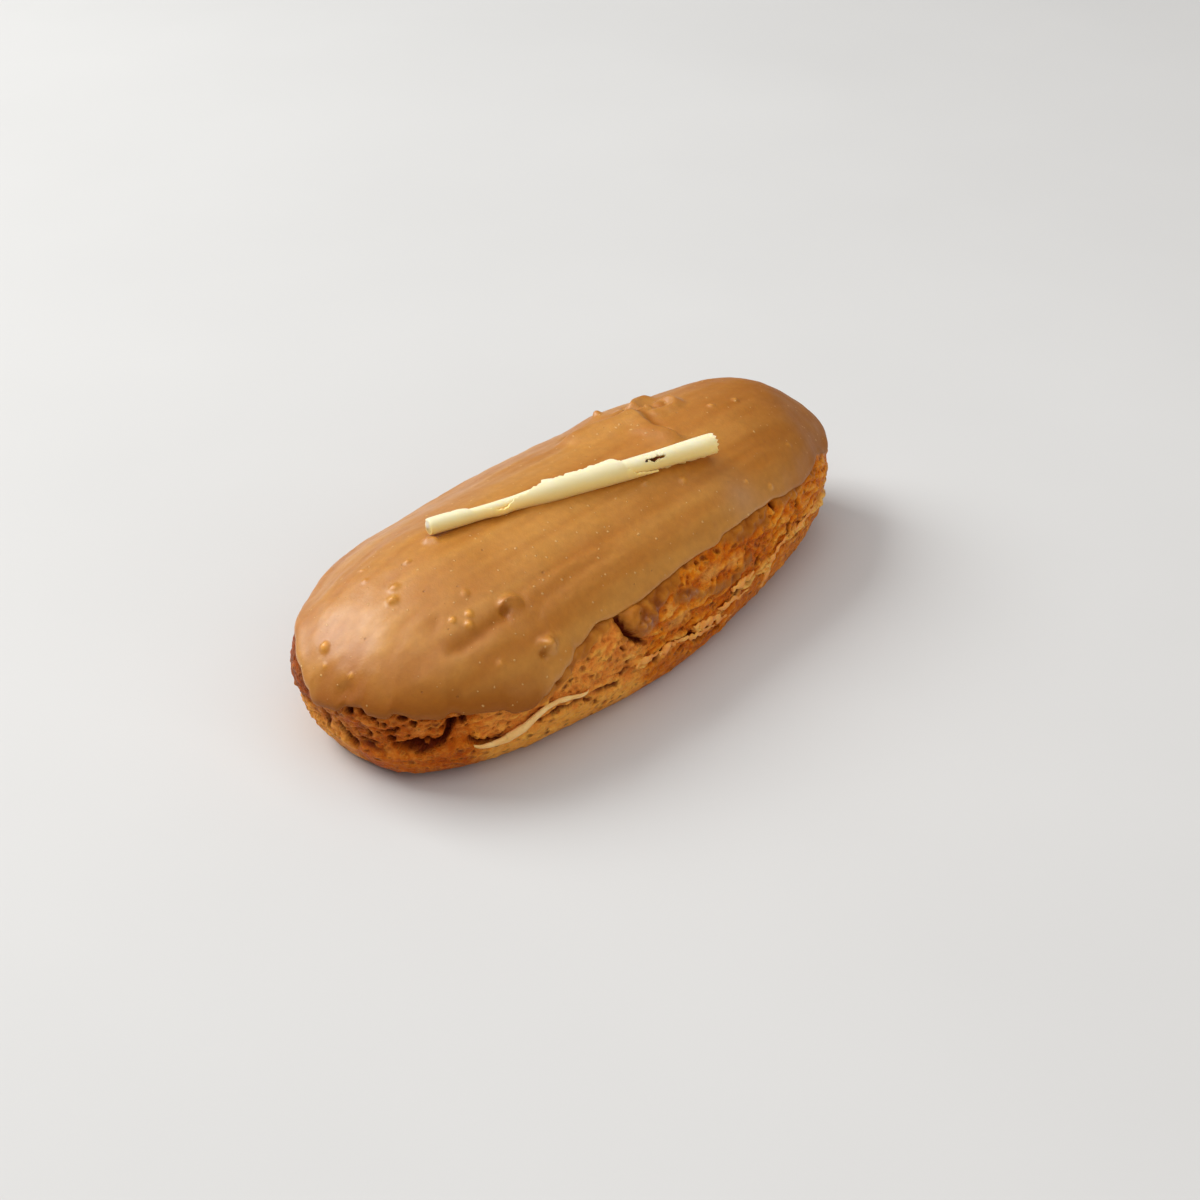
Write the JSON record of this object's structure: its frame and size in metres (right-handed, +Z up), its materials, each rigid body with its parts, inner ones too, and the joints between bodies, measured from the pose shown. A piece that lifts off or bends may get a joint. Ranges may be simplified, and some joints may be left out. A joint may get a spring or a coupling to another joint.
{
  "type": "iced eclair",
  "caption": "Oblong choux pastry bun with a flat base, a domed top of satin coffee icing with a scalloped edge, and a rolled white chocolate curl laid across it.",
  "frame": {"origin": "centre of the flat underside, on the surface that the bun rests on", "axes": "+X along the length towards the slim end, +Z up through the icing, +Y towards the flank turned away from the dough thread"},
  "size_m": [0.1432, 0.0593, 0.0394],
  "materials": {
    "choux_crust": null,
    "coffee_icing": null,
    "white_chocolate": null
  },
  "bodies": {
    "root": {"choux_bun": "choux_crust", "coffee_icing": "coffee_icing", "white_chocolate_curl": "white_chocolate"}
  },
  "joints": []
}
